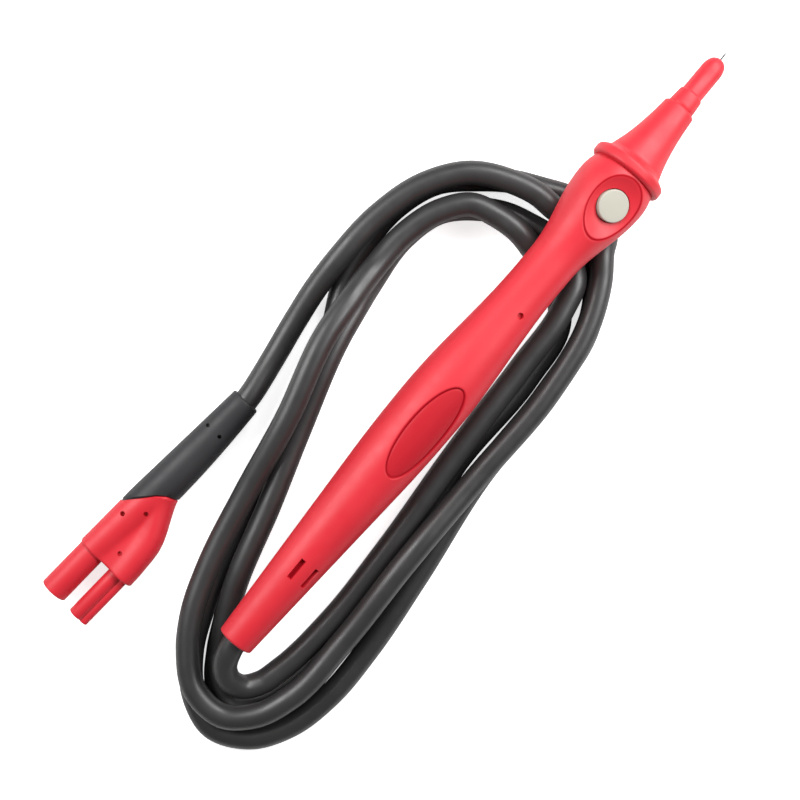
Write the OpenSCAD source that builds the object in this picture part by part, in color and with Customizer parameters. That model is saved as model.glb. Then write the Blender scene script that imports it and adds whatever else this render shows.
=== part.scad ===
// Test probe with a push button, a moulded handle, a loose lead and a two-pole plug.
// Millimetres. X runs along the handle towards the needle, Z is up, and the probe lies on its own lead.
// The origin is on the handle's axis, where the straight part of the tip sleeve ends.

/* [Handle] */
// Length of the moulded handle, from its tail to the joint with the front cone
handle_len = 173.3; // [166:0.1:208]
// Diameter of the tail, behind the straight taper
tail_d = 11; // [10.4:0.1:13]
// Length of the straight taper that starts at the tail
taper_len = 62; // [50:1:68]
// Diameter of the belly, the widest place of the grip
belly_d = 20; // [17:0.1:24]
// Distance of the belly from the tail
belly_s = 88; // [76:1:95]
// Diameter of the neck behind the head
neck_d = 14.7; // [13.6:0.1:17]
// Start of the neck, from the tail
neck_s = 136; // [115:1:138]
// Length of the straight neck
neck_len = 5; // [2:1:9]
// Diameter of the head, around the button
head_d = 22.4; // [20:0.1:27]
// Distance from the head's widest place to the joint with the cone
head_back = 5.8; // [4:0.1:8]
// Diameter of the head where it meets the cone
crease_d = 20.2; // [17:0.1:22]
// Rounding of the tail's rim
tail_round = 0.8; // [0.3:0.1:1.2]
// Turn of the button and the recesses about the handle's axis, away from straight up
roll = 22; // [0:1:45]
// Height of the handle's axis above the surface it lies on
axis_h = 20.7; // [20.7:0.1:24]
// Diameter of the long bore that holds the works
bore_d = 10.8; // [9.6:0.1:11]
// Length of the narrow bore in the tail, around the lead
tail_bore_len = 30; // [20:1:36]

/* [Handle details] */
// Length of the long oval recess on the belly
oval_l = 31.8; // [20:0.5:36]
// Width of the oval recess
oval_w = 11.8; // [6:0.1:13]
// Depth of the oval recess
oval_depth = 0.5; // [0.3:0.05:0.8]
// Distance of the oval recess from the tail
oval_s = 80.6; // [70:0.1:90]
// Radius of the hollow dish around the button
dish_r = 20; // [19:0.5:26]
// Height of the dish's lowest place above the axis
dish_floor = 6.9; // [6.6:0.1:7.2]
// Width of the fine step along the dish's rim
rim_w = 0.3; // [0.2:0.05:0.6]
// Depth of that step
rim_depth = 0.25; // [0.1:0.05:0.4]
// Distance from the button back to the dish's lowest place
dish_back = 2.9; // [0:0.1:4]
// Diameter of the small round hole on the neck side
dimple_d = 2; // [1:0.1:3]
// Depth of the small round hole
dimple_depth = 1.2; // [0.5:0.1:1.6]
// Distance of the small round hole from the tail
dimple_s = 123; // [115:0.1:128]
// Length of each slot near the tail
slot_l = 6.5; // [4:0.1:9]
// Width of each slot
slot_w = 1.5; // [0.6:0.1:2]
// Depth of each slot
slot_depth = 1.3; // [0.8:0.1:1.6]
// Distance of the slots from the tail
slot_s = 28; // [20:0.5:33]
// Angle of each slot to the side of the button's line
slot_turn = 20.6; // [15:0.1:30]

/* [Button] */
// Diameter of the push button
button_d = 9.4; // [8:0.1:9.6]
// Height of the button's face above the handle's axis
button_top = 8.7; // [8.2:0.1:9.4]
// Distance of the button from the joint with the cone
button_back = 9.9; // [9.7:0.1:12]
// Travel of the button when it is pressed
button_travel = 0.8; // [0.4:0.1:0.8]
// Width of the flange that keeps the button in, beyond its side
button_flange = 0.5; // [0.3:0.1:0.5]
// Side of the square push switch under the button
switch_w = 6; // [5:0.1:6]
// Height of the switch's case
switch_h = 3.2; // [2.8:0.1:3.2]
// Thickness of the circuit board
board_t = 0.8; // [0.6:0.1:1]
// Length of the circuit board
board_len = 47; // [40:1:60]

/* [Front cone and tip] */
// Diameter of the finger guard
guard_d = 23.1; // [20:0.1:28]
// Thickness of the guard's rim
guard_t = 3.6; // [2.6:0.1:5]
// Diameter of the cone just in front of the guard
cone_root_d = 17.2; // [14:0.1:18.5]
// Diameter that the cone's curve runs down towards
cone_end_d = 8; // [7.6:0.1:9]
// Length of the cone, from the guard's face
cone_len = 21.3; // [16:0.1:28]
// Diameter of the tip sleeve's collar
collar_d = 8.2; // [7:0.1:8.4]
// Length of the tip sleeve's collar
collar_len = 5.4; // [4:0.1:8]
// Diameter of the tip sleeve
sleeve_d = 6.6; // [5.6:0.1:7.2]
// Length of the straight tip sleeve, in front of the collar
sleeve_len = 8.4; // [6:0.1:14]
// Length of the rounded nose
nose_len = 4.3; // [3:0.1:6]
// Diameter of the blunt end of the nose
nose_d = 3; // [2:0.1:4]
// Diameter of the contact needle
needle_d = 0.5; // [0.4:0.05:1]
// Length of needle that stands out of the nose
needle_out = 3.3; // [2:0.1:6]
// Diameter of the brass rod that holds the needle
rod_d = 2.4; // [2:0.1:3]

/* [Lead] */
// Diameter of the lead
lead_d = 7.2; // [6.4:0.1:7.2]
// Length of lead inside the handle
lead_in = 40; // [36:1:46]
// Diameter of the wire that carries the test voltage
hot_wire_d = 1.8; // [1.4:0.1:2]
// Diameter of each wire of the button's circuit
sense_wire_d = 1; // [0.8:0.1:1.2]

/* [Plug] */
// Height of the plug's axis above the surface
plug_h = 6.3; // [6.3:0.1:8]
// Length of the rubber boot, behind the plug body
boot_len = 40; // [34:1:46]
// Diameter of the boot at the lead
boot_tail_d = 9.1; // [8.8:0.1:10]
// Diameter of the boot at the plug body
boot_head_d = 12.4; // [11.6:0.1:12.8]
// Slant of the joint between the boot and the body
boot_slant = 42; // [0:1:45]
// Radius of the curve of that joint
joint_r = 17; // [14:0.5:30]
// Height of that curve over its chord
joint_rise = 2.2; // [1:0.1:3]
// Length of the plug body
body_len = 23; // [20:0.5:28]
// Thickness of the web between the plug body's two lobes
web_t = 7.4; // [6:0.1:8]
// Diameter of the shrouded tube
shroud_d = 8.5; // [7.8:0.1:9]
// Bore of the shrouded tube
shroud_bore_d = 6.2; // [5.4:0.1:6.6]
// Length of shrouded tube that stands out of the body
shroud_out = 17; // [14:0.1:22]
// Diameter of the contact pin in the shroud
pin_d = 3.8; // [3.6:0.1:4]
// Distance between the two tubes
tube_pitch = 9.8; // [9:0.1:12]
// Diameter of the small tube
small_d = 5; // [4.4:0.1:5.4]
// Length of small tube that stands out of the body
small_out = 18; // [14:0.1:22]
// Height of the key on the small tube's side
key_out = 1.7; // [1:0.1:2]
// Width of that key
key_w = 2.4; // [1.6:0.1:3]

/* [Hidden] */

// A thin gap between pieces that fit together
slip = 0.05;
// A gap where a loose piece lies in its seat
loose = 0.3;
// A length past a face, so that a cut is clean
past = 1;
// Steps along a curved outline
outline_step = 2.6;
steps_round = 6;

origin_s = handle_len + guard_t + cone_len + collar_len + sleeve_len;
button_s = handle_len - button_back;
head_s = handle_len - head_back;
neck_end_s = neck_s + neck_len;
bore_r = bore_d / 2;
lead_r = lead_d / 2;
lead_bore_r = lead_r + 3 * slip;
// Heights in the head, above the handle's axis
flange_t = 0.9;
flange_top = bore_r - loose;
flange_low = flange_top - flange_t;
switch_low = -0.8;
switch_top = switch_low + switch_h;
plunger_d = 2;
plunger_in = button_travel + 4 * slip;
board_end_s = button_s + switch_w / 2 + 0.4;
lug_t = 1.5;
lug_s = board_end_s + 0.3;
spigot_s = lug_s + lug_t + loose;
wire_z = -3.4;
// Plug: the big tube lies a little to one side of the boot's line, and the small one on the other side
shroud_y = -1.7;
small_y = shroud_y + tube_pitch;
body_wall = 1.4;
shroud_root = 14;
shroud_floor = body_len + 1.5;
// Depth of the shoulder with which the shrouded tube seats on the body's face
tube_step = 0.8;
small_root = 16;
cup_back = 8;
cable_stop = -6;
crimp_s = cable_stop - 8;
crimp_r = lead_r + 0.9;

// Where the plug lies: the joint of boot and body, from the tail along the handle and to the left,
// and the direction in which the plug points, from the handle's direction
plug_x = 14;
plug_y = 45.8;
plug_turn = 175.7;

// The lead's route from the tail to the boot: distance from the tail, distance to the left, height
// of the middle above the surface. The strands lie beside and on each other, a little over one
// diameter apart.
low = 3.6;
ROUTE = [
    // out of the tail and back towards the head, first turn
    [-4, -0.8, 20], [-8.2, -2.6, 17.6], [-10.9, -6, 14.6], [-10.7, -10.2, 11.6], [-7, -13.6, 9.6],
    [0, -15.8, 8.4], [20, -18, 7.8], [47, -17.2, 10], [82, -14.5, 11], [113, -13.1, 11],
    [134, -11.6, 11.2],
    [143.2, -8.6, 10.6], [146.3, -5, 9.3], [148.2, -0.4, 6.9], [149, 5, 4.2], [147.9, 12.1, low],
    [146.1, 18.9, low], [142.3, 25.8, low], [133.6, 34.7, low], [121, 38.1, low], [104, 36.8, 4.6],
    [95, 35.2, 8.8], [86, 33.5, 11], [59, 25.5, 11], [34.5, 17.5, 10.5], [11, 10.5, 9], [-1, 5.5, 6],
    // second turn, under the first one
    [-9, 1.5, low], [-16.5, -4.5, low], [-18.8, -12, low], [-13, -19.3, low], [-5, -22.4, low],
    [17, -24.5, low], [46, -22, low], [80, -16.8, low], [113, -16.9, low], [131, -13.8, low],
    [138.4, -6.4, 3.7], [140.2, -1.8, 4.6], [141.3, 2.2, 7.2], [142.1, 6.6, 9.8], [143.2, 13.1, 11.2],
    [142.7, 20.8, 11.2], [140.5, 28.5, 11.2], [134, 34, 11.2], [122, 38, 11], [108, 38.5, 12],
    [95, 37.5, 16.5], [85, 36.5, 18.5], [58, 29.5, 18], [33, 25, 13], [9, 19.5, 11], [-3, 15, 11],
    // third turn, on top
    [-13, 8.5, 11], [-20.5, -0.5, 11], [-21, -11.5, 11], [-14.5, -19, 11], [-4, -23.3, 11],
    [18, -24.5, 11.2], [46.5, -23.5, 14.5], [81.5, -23.8, 11.2], [113.5, -24, 11.2], [136, -20.1, 11.2],
    [147.6, -14.6, 11.2], [154.6, -9.6, 11], [158.4, -7.9, 9.2], [161.6, -4.9, 7], [163.5, -0.6, 5.3],
    [163.3, 4, 3.9], [161.2, 9.7, low], [158.4, 16, low], [154.5, 24.1, low], [148.4, 32.3, low],
    [139.7, 41, low], [127, 45.6, low], [114.5, 46.2, low], [102, 44.2, low], [85.5, 36.5, low],
    [58, 28, low], [33, 22, low], [9, 16.5, low], [-2.5, 13, low],
    // fourth turn, the outermost
    [-14, 7.5, low], [-24, -2, low], [-27.3, -11, low], [-22.5, -22, low], [-12, -29, low],
    [2, -32.2, low], [20, -32.2, low], [46, -29.5, low], [81, -24.8, low], [113, -24.3, low],
    [136, -21, low], [143, -17.4, low], [148, -13.2, low], [151.4, -9, low], [153.8, -5, low],
    [155.7, -0.8, 4], [156.2, 3, 6], [155.6, 6.4, 8.8], [155.2, 9.6, 10.7], [155.2, 15.5, 11.2],
    // across the coil and out to the plug
    [153.3, 23.5, 11.2], [147.6, 34.6, 11.2], [137, 42.7, 11.2], [121, 47.5, 11], [104, 48.5, 10],
    [93, 48.3, 7.2], [80, 46.8, 4.5], [68, 44.8, 4.2]];

function mix(a, b, t) = a + (b - a) * t;
function ease(t) = (1 - cos(180 * t)) / 2;
function plug_point(a) = [plug_x + a * cos(plug_turn), plug_y + a * sin(plug_turn), plug_h];

// Radius of the handle at a distance from the tail: a straight taper, a parabola up to the belly,
// a smooth step down to the neck, one up to the head, and a parabola down to the joint
taper_slope = (belly_d - tail_d) / (belly_s + taper_len);
function grip_r(s) =
    s < taper_len ? tail_d / 2 + taper_slope * s :
    s < belly_s ? belly_d / 2 - taper_slope * pow(belly_s - s, 2) / (belly_s - taper_len) / 2 :
    s < neck_s ? mix(belly_d, neck_d, ease((s - belly_s) / (neck_s - belly_s))) / 2 :
    s < neck_end_s ? neck_d / 2 :
    s < head_s ? mix(neck_d, head_d, ease((s - neck_end_s) / (head_s - neck_end_s))) / 2 :
    mix(head_d, crease_d, pow((s - head_s) / head_back, 2)) / 2;

// The outline between two distances from the tail, less a depth
function grip_line(from, to, depth = 0) =
    let (n = ceil((to - from) / outline_step))
    [for (i = [0:n]) let (s = mix(from, to, i / n)) [s, grip_r(s) - depth]];

// Radius of the front cone at a distance in front of the guard's face
function cone_r(a) = mix(cone_root_d, cone_end_d, 1 - exp(-a / 12.5)) / 2;

// A quarter of an ellipse as outline points, from one corner angle to the other
function arc(cx, cy, rx, ry, from, to, n = steps_round) =
    [for (i = [0:n]) let (t = mix(from, to, i / n)) [cx + rx * cos(t), cy + ry * sin(t)]];

// Puts a piece that is drawn along X from the tail in its place in the part
module along_probe() {
    translate([-origin_s, 0, 0]) rotate([roll, 0, 0]) children();
}

// Puts a piece that is drawn along X from the boot's joint in its place in the part
module along_plug() {
    translate([plug_x - origin_s, plug_y, plug_h - axis_h]) rotate([0, 0, plug_turn]) children();
}

// A turned shape around X, from outline points [distance, radius]
module lathe(line, sides = 96) {
    rotate([0, 90, 0]) rotate_extrude($fn = sides) polygon([for (p = line) [p[1], p[0]]]);
}

// A round bar along X
module bar(from, to, r, sides = 48) {
    translate([from, 0, 0]) rotate([0, 90, 0]) cylinder(h = to - from, r = r, $fn = sides);
}

// A round bar along X at a place to the side and up
module bar_at(from, to, r, y, z, sides = 32) {
    translate([0, y, z]) bar(from, to, r, sides);
}

// A round post along Z at a distance from the tail
module post(s, from, to, r, sides = 64) {
    translate([s, 0, from]) cylinder(h = to - from, r = r, $fn = sides);
}

// A tube swept through points, with a ring of corners in the middle plane of each bend
module swept_tube(path, r, sides) {
    n = len(path);
    unit = function (v) v / norm(v);
    tangent = [for (i = [0:n - 1]) unit(
        (i < n - 1 ? unit(path[i + 1] - path[i]) : [0, 0, 0])
        + (i > 0 ? unit(path[i] - path[i - 1]) : [0, 0, 0]))];
    corners = [for (i = [0:n - 1])
        let (side = unit(cross(tangent[i], [0, 0, 1])), up = cross(side, tangent[i]))
        for (k = [0:sides - 1])
            path[i] + r * (side * cos(360 * k / sides) + up * sin(360 * k / sides))];
    walls = [for (i = [0:n - 2], k = [0:sides - 1])
        let (a = i * sides + k, b = i * sides + (k + 1) % sides)
        each [[a, a + sides, b + sides], [a, b + sides, b]]];
    first_cap = [for (k = [0:sides - 1]) k];
    last_cap = [for (k = [sides - 1:-1:0]) (n - 1) * sides + k];
    polyhedron(points = corners, faces = concat(walls, [first_cap], [last_cap]));
}

// Everything that is cut out of the handle from the button's side
module handle_cuts() {
    // the dish around the button
    dish_s = button_s - dish_back;
    translate([dish_s, 0, dish_floor + dish_r]) sphere(r = dish_r, $fn = 128);
    // the fine step along the dish's rim
    difference() {
        translate([dish_s, 0, dish_floor + dish_r]) sphere(r = dish_r + rim_w, $fn = 128);
        lathe(concat([[dish_s - dish_r, 0]], grip_line(dish_s - dish_r, handle_len + past, rim_depth),
            [[handle_len + past, 0]]));
    }
    // the button's hole and the pocket for its flange
    post(button_s, bore_r - past, button_top + past, button_d / 2 + 3 * slip);
    post(button_s, 0, bore_r, button_d / 2 + button_flange + loose);
    // the oval recess, of one depth all over
    intersection() {
        translate([oval_s, 0, 0]) linear_extrude(height = belly_d)
            polygon(arc(0, 0, oval_l / 2, oval_w / 2, 0, 352.5, 47));
        difference() {
            bar(oval_s - oval_l / 2 - past, oval_s + oval_l / 2 + past, belly_d, 48);
            lathe(concat([[oval_s - oval_l / 2 - 2 * past, 0]],
                grip_line(oval_s - oval_l / 2 - 2 * past, oval_s + oval_l / 2 + 2 * past, oval_depth),
                [[oval_s + oval_l / 2 + 2 * past, 0]]));
        }
    }
    // the small hole on the neck side
    post(dimple_s, grip_r(dimple_s) - dimple_depth, belly_d, dimple_d / 2, 32);
    // the two slots at the tail
    for (turn = [-slot_turn, slot_turn])
        rotate([turn, 0, 0]) translate([slot_s - slot_l / 2, -slot_w / 2, grip_r(slot_s) - slot_depth])
            cube([slot_l, slot_w, belly_d]);
}

module handle_body() {
    color("crimson") along_probe() difference() {
        lathe(concat([[0, 0]], arc(tail_round, grip_r(0) - tail_round, tail_round, tail_round, 180, 90),
            grip_line(tail_round + 0.4, handle_len), [[handle_len, 0]]));
        bar(-past, handle_len, lead_bore_r);
        bar(tail_bore_len, handle_len + past, bore_r);
        handle_cuts();
    }
}

module front_cone() {
    rim = 1.1;
    face_s = handle_len + guard_t;
    cone_bore = sleeve_d / 2 - 0.1 + slip;
    color("crimson") along_probe() difference() {
        lathe(concat([[spigot_s, 0], [spigot_s, bore_r - 2 * slip], [handle_len, bore_r - 2 * slip]],
            arc(handle_len + rim, guard_d / 2 - rim, rim, rim, 180, 90),
            arc(face_s - rim, guard_d / 2 - rim, rim, rim, 90, 20),
            arc(face_s + 1.9, guard_d / 2 - rim, 1.7, guard_d / 2 - rim - cone_r(0) - 0.1, 195, 265),
            [for (i = [1:8]) let (a = mix(1.9, cone_len - 0.3, i / 8)) [face_s + a, cone_r(a - 1.9)]],
            [[face_s + cone_len, cone_r(cone_len) - 0.2], [face_s + cone_len, 0]]));
        bar(spigot_s - past, face_s + cone_len + past, cone_bore);
    }
}

module tip_sleeve() {
    collar_s = handle_len + guard_t + cone_len;
    sleeve_s = collar_s + collar_len;
    rod_end = origin_s + 1.5;
    color("crimson") along_probe() difference() {
        lathe([[collar_s - 12, 0], [collar_s - 12, sleeve_d / 2 - 0.1],
            [collar_s, sleeve_d / 2 - 0.1], [collar_s, collar_d / 2 - 0.15],
            [collar_s + 0.3, collar_d / 2], [sleeve_s - 0.8, collar_d / 2 - 0.35],
            [sleeve_s, sleeve_d / 2], [origin_s, sleeve_d / 2],
            [origin_s + nose_len * 0.35, sleeve_d / 2 - 0.35],
            [origin_s + nose_len * 0.75, mix(sleeve_d, nose_d, 0.6) / 2],
            [origin_s + nose_len - 0.2, nose_d / 2], [origin_s + nose_len, nose_d / 2 - 0.3],
            [origin_s + nose_len, 0]]);
        bar(collar_s - 13, rod_end, rod_d / 2 + slip);
        bar(collar_s, origin_s + nose_len + past, needle_d / 2 + slip);
    }
}

module contact_rod() {
    rod_end = origin_s + 1.5 - slip;
    color("goldenrod") along_probe() difference() {
        union() {
            bar(lug_s, rod_end, rod_d / 2);
            translate([lug_s, -1.2, 1 - bore_r]) cube([lug_t, 2.4, bore_r - 1]);
        }
        bar(rod_end - 12, rod_end + past, needle_d / 2 + slip / 2);
    }
}

module contact_needle() {
    start = origin_s - 9;
    end = origin_s + nose_len + needle_out;
    color("dimgray") along_probe()
        lathe([[start, 0], [start, needle_d / 2], [end - 1.2, needle_d / 2], [end, 0.04],
            [end, 0]], 32);
}

module button_cap() {
    edge = 0.3;
    color("antiquewhite") along_probe() translate([button_s, 0, 0]) rotate_extrude($fn = 96)
        polygon([[0, flange_low], [button_d / 2 + button_flange, flange_low],
            [button_d / 2 + button_flange, flange_top], [button_d / 2, flange_top],
            [button_d / 2, button_top - edge], [button_d / 2 - edge, button_top], [0, button_top]]);
}

module switch_plunger() {
    color("black") along_probe() post(button_s, switch_top - plunger_in, flange_low, plunger_d / 2, 48);
}

module return_spring() {
    wire_r = 0.15;
    coil_r = plunger_d / 2 + 0.8;
    from = switch_top + wire_r + slip / 2;
    to = flange_low - wire_r - slip / 2;
    turns = 2.5;
    rings = 12;
    coil = [for (i = [0:turns * rings]) let (t = i / (turns * rings), a = 360 * turns * t)
        [button_s + coil_r * cos(a), coil_r * sin(a), mix(from, to, t)]];
    color("silver") along_probe() swept_tube(coil, wire_r, 6);
}

module switch_case() {
    color("dimgray") along_probe() difference() {
        translate([button_s - switch_w / 2, -switch_w / 2, switch_low])
            cube([switch_w, switch_w, switch_h]);
        post(button_s, switch_top - plunger_in - button_travel - 0.2, switch_top + past,
            plunger_d / 2 + slip, 48);
    }
}

module circuit_board() {
    color("seagreen") along_probe()
        translate([board_end_s - board_len, 0.7 - bore_r, switch_low - board_t])
            cube([board_len, bore_d - 1.4, board_t]);
}

module inner_carrier() {
    color("gray") along_probe() difference() {
        bar(board_end_s - board_len - 2, board_end_s, bore_r - 2 * slip, 64);
        translate([board_end_s - board_len - 3, -bore_d, switch_low - board_t])
            cube([board_len + 4, 2 * bore_d, bore_d]);
        bar_at(board_end_s - board_len - 3, board_end_s + past, hot_wire_d / 2 + slip, 0, wire_z);
    }
}

module hot_wire() {
    color("firebrick") along_probe() bar_at(lead_in, lug_s, hot_wire_d / 2, 0, wire_z);
}

module sense_wires() {
    z = switch_low + sense_wire_d / 2 + slip;
    color("white") along_probe() for (y = [-1.8, 1.8])
        bar_at(lead_in, board_end_s - board_len + 4, sense_wire_d / 2, y, z);
}

module cord_clamp() {
    color("silver") along_probe() difference() {
        bar(tail_bore_len, lead_in - 2, bore_r - 2 * slip, 64);
        bar(tail_bore_len - past, lead_in, lead_bore_r, 64);
    }
}

module lead() {
    path = concat([[lead_in, 0, axis_h], [0, 0, axis_h]], ROUTE,
        [plug_point(-boot_len), plug_point(cable_stop)]);
    color("dimgray") translate([-origin_s, 0, -axis_h]) swept_tube(path, lead_r, 10);
}

// The space in front of the slanted joint between the boot and the body, which bulges into the boot
module joint_front(gap) {
    translate([0.8, 0, 0]) rotate([0, 0, boot_slant]) {
        translate([-gap, -30, -30]) cube([60, 60, 60]);
        translate([joint_r - joint_rise, 0, -30]) cylinder(h = 60, r = joint_r + gap, $fn = 96);
    }
}

module lead_boot() {
    color("dimgray") along_plug() difference() {
        lathe([[-boot_len, 0], [-boot_len, boot_tail_d / 2 - 0.4], [-boot_len + 0.4, boot_tail_d / 2],
            [-14, boot_tail_d / 2 + 1], [2, boot_head_d / 2], [10, boot_head_d / 2], [10, 0]]);
        joint_front(slip);
        bar(-boot_len - past, crimp_s, lead_bore_r, 64);
        bar(crimp_s - slip, 12, crimp_r + slip, 64);
        for (y = [-2.7, 2.1])
            translate([-27.3, y, boot_tail_d / 2 - 1.4]) cylinder(h = belly_d, r = 0.6, $fn = 24);
    }
}

module crimp_ring() {
    color("silver") along_plug() difference() {
        bar(crimp_s, cable_stop - 1, crimp_r, 64);
        bar(crimp_s - past, cable_stop, lead_bore_r, 64);
    }
}

// The plug body's two lobes, one along each tube, less a wall
module lobes(wall) {
    back_r = boot_head_d / 2 + 0.1 - wall;
    big_r = shroud_d / 2 + 0.6 - wall;
    small_r = small_d / 2 + 1.5 - wall;
    // the cavity ends at the tubes' roots, the outer shape at the plug's front faces
    big_end = wall > 0 ? shroud_root - 0.5 : body_len;
    small_end = wall > 0 ? small_root - 0.5 : body_len + 0.4;
    hull() {
        bar(-12, 2, back_r, 32);
        bar_at(big_end - 3, big_end, big_r, shroud_y + 0.1, 0);
    }
    hull() {
        bar_at(-6, -4, back_r - 0.5, 0.4, 0);
        bar_at(7, 8, small_r + 0.2, small_y - 0.4, 0);
        bar_at(small_end - 5, small_end, small_r, small_y + key_out - 0.3, 0);
    }
    // the web that fills the notch between the lobes
    if (wall == 0)
        hull() {
            bar_at(small_y, body_len, web_t / 2, 0, 0);
            bar_at(small_y, body_len, web_t / 2, small_y, 0);
        }
}

module plug_body() {
    hole_d = 1.4;
    hole_places = [[8.5, -2.5, 3.4], [3.9, 2.5, 3.4], [17.8, 5, web_t / 2 - 1.5]];
    color("crimson") along_plug() difference() {
        intersection() {
            lobes(0);
            joint_front(0);
        }
        lobes(body_wall);
        bar_at(shroud_root - 1, body_len + past, shroud_d / 2 - tube_step + slip, shroud_y, 0, 64);
        bar_at(small_root - 3, body_len + 2, small_d / 2 + slip, small_y, 0, 48);
        small_key(small_root - 3, body_len + 2, slip);
        for (at = hole_places)
            translate(at) cylinder(h = past + belly_d, r = hole_d / 2, $fn = 24);
    }
}

// The key along the small tube's outer side, with a gap all round
module small_key(from, to, gap) {
    translate([from, small_y, -key_w / 2 - gap])
        cube([to - from, small_d / 2 + key_out + gap, key_w + 2 * gap]);
}

module shroud_tube() {
    color("crimson") along_plug() translate([0, shroud_y, 0]) difference() {
        lathe([[shroud_root, 0], [shroud_root, shroud_d / 2 - tube_step],
            [body_len, shroud_d / 2 - tube_step], [body_len, shroud_d / 2],
            [body_len + shroud_out, shroud_d / 2], [body_len + shroud_out, 0]], 64);
        bar(shroud_floor, body_len + shroud_out + past, shroud_bore_d / 2, 64);
        bar(shroud_root - past, shroud_floor + past, pin_d / 2 + slip, 48);
    }
}

module plug_pin() {
    end = body_len + shroud_out - 1.5;
    r = pin_d / 2;
    color("gold") along_plug() translate([0, shroud_y, 0])
        lathe([[cup_back, 0], [cup_back, r + 0.3], [shroud_root - slip, r + 0.3],
            [shroud_root - slip, r], [end - 13, r], [end - 13, r - 0.3], [end - 3, r - 0.3],
            [end - 3, r], [end - 0.8, r], [end, r - 0.8], [end, 0]], 48);
}

module pin_basket() {
    end = body_len + shroud_out - 1.5;
    r = pin_d / 2;
    color("gold") along_plug() translate([0, shroud_y, 0]) difference() {
        lathe([[end - 12.8, 0], [end - 12.8, r - 0.05], [end - 8, r + 0.2], [end - 3.2, r - 0.05],
            [end - 3.2, 0]], 48);
        bar(end - 14, end, r - 0.3 + slip / 2, 48);
        for (k = [0:5]) rotate([60 * k, 0, 0]) translate([end - 12, -0.2, 0]) cube([8, 0.4, 4]);
    }
}

module small_tube() {
    end = body_len + small_out;
    color("crimson") along_plug() difference() {
        union() {
            bar_at(small_root, end, small_d / 2, small_y, 0, 48);
            small_key(small_root, end, 0);
        }
        bar_at(small_root - past, end + past, small_d / 2 - 0.8, small_y, 0, 48);
    }
}

module small_insert() {
    color("black") along_plug() difference() {
        bar_at(small_root, body_len + small_out - 11, small_d / 2 - 0.8 - slip, small_y, 0, 48);
        bar_at(small_root - past, body_len + small_out, 0.5 + slip, small_y, 0, 24);
    }
}

module small_pin() {
    color("gold") along_plug() bar_at(small_root - 2, body_len + small_out - 2, 0.5, small_y, 0, 24);
}

module plug_wires() {
    color("firebrick") along_plug() {
        hull() {
            bar_at(cable_stop + slip, cable_stop + 0.5, hot_wire_d / 2, -0.9, 0, 16);
            bar_at(cup_back - 0.5, cup_back - slip, hot_wire_d / 2, shroud_y, 0, 16);
        }
        hull() {
            bar_at(cable_stop + slip, cable_stop + 0.5, sense_wire_d / 2, 1.5, 0, 16);
            bar_at(small_root - 2.5, small_root - 2 - slip, sense_wire_d / 2, small_y, 0, 16);
        }
    }
}

handle_body();
front_cone();
tip_sleeve();
contact_rod();
contact_needle();
button_cap();
switch_plunger();
return_spring();
switch_case();
circuit_board();
inner_carrier();
hot_wire();
sense_wires();
cord_clamp();
lead();
lead_boot();
crimp_ring();
plug_body();
shroud_tube();
plug_pin();
pin_basket();
small_tube();
small_insert();
small_pin();
plug_wires();
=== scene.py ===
"""The insulation test probe on its coiled lead, seen from straight above: a moulded grip with a push
button, the cone with its finger guard, the tip sleeve and needle, the lead, its boot, and the plug.

Lengths are in millimetres: the distance from the grip's tail, the distance to the left of the grip's
axis, and the height above the surface. row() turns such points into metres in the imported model's frame.
On the probe and the plug, points are first drawn along the piece: distance, left, up."""

import math

import bpy
import numpy as np
from mathutils import Matrix


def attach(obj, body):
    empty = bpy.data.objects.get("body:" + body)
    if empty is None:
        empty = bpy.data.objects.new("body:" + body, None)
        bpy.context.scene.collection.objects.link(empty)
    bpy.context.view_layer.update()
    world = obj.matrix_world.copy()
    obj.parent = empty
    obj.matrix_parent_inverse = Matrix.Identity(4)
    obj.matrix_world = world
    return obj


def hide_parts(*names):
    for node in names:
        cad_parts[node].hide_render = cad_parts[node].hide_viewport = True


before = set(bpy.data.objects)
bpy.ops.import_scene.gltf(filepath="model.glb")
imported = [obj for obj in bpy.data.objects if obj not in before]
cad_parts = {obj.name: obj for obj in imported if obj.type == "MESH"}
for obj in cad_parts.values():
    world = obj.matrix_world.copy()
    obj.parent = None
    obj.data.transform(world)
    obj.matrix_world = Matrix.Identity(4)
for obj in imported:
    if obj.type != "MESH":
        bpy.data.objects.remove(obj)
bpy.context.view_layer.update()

# The frame's origin lies on the grip's axis, where the tip sleeve's nose begins: its distance from the
# tail, and its height
TAIL = 212.0
AXIS_H = 20.7
# The probe is rolled about its axis, so that the button leans to the right
ROLL = math.radians(22)
# The joint between boot and plug body, on the plug's axis, and the direction in which the plug points
PLUG_AT = (14.0, 45.8, 6.3)
PLUG_TURN = math.radians(175.7)
# The picture's right and up on the surface, the point in its middle, the width that it shows there, and
# the camera's height
PICTURE_RIGHT = (0.641, -0.7675)
PICTURE_UP = (0.7675, 0.641)
MIDDLE = (83.2, 8.0)
VIEW_WIDTH = 240.0
CAMERA_H = 443.0

# The lead's radius, and the height of its middle where it lies on the surface
LEAD_R = 3.6
low = LEAD_R
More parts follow.
